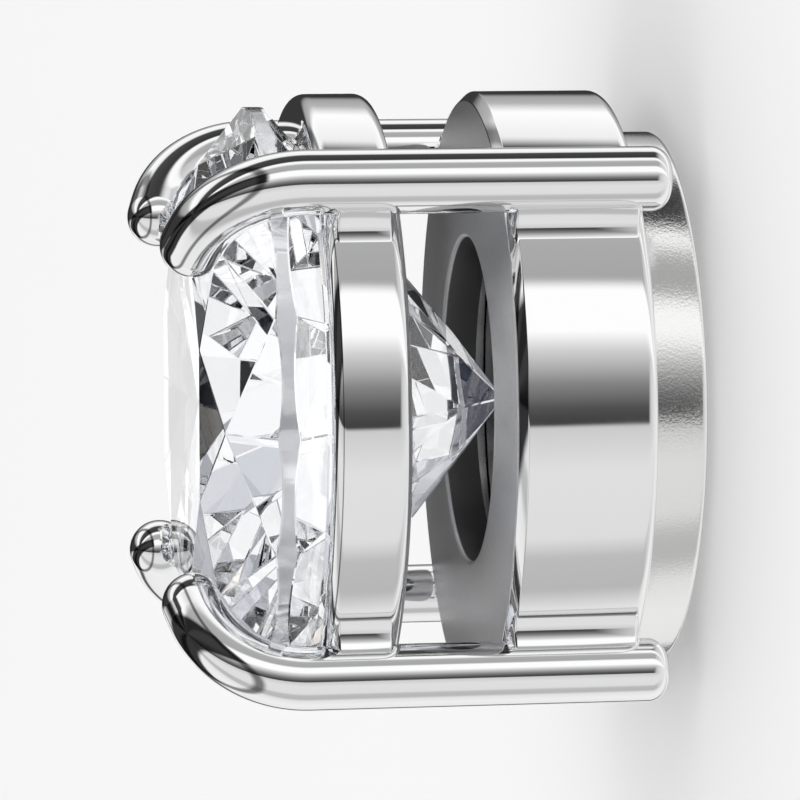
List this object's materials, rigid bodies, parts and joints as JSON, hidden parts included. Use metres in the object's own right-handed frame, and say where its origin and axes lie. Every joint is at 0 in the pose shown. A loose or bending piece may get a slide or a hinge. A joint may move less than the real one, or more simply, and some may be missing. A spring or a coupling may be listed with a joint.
{
  "type": "magnetic stud earring",
  "caption": "Round brilliant stone in a prong setting on a magnet cup, with a disc magnet back that pulls straight off; stands on the back.",
  "frame": {"origin": "centre of the back magnet's rear face, on which the earring stands", "axes": "+Z along the stone's axis, from the back magnet to the stone's table; X and Y midway between the prongs"},
  "size_m": [0.0084, 0.0084, 0.007],
  "materials": {
    "stone": "faceted and polished, colourless",
    "polished_silver": "mirror polished",
    "magnet_plating": "satin nickel plating"
  },
  "bodies": {
    "back": {"back_magnet": "magnet_plating"},
    "stud": {"setting": "polished_silver", "stone": "stone", "cup_magnet": "magnet_plating"}
  },
  "joints": [
    {"name": "pull_apart", "type": "slide", "parent": "back", "child": "stud", "axis": [0, 0, 1], "range_m": [0, 0.005]}
  ]
}
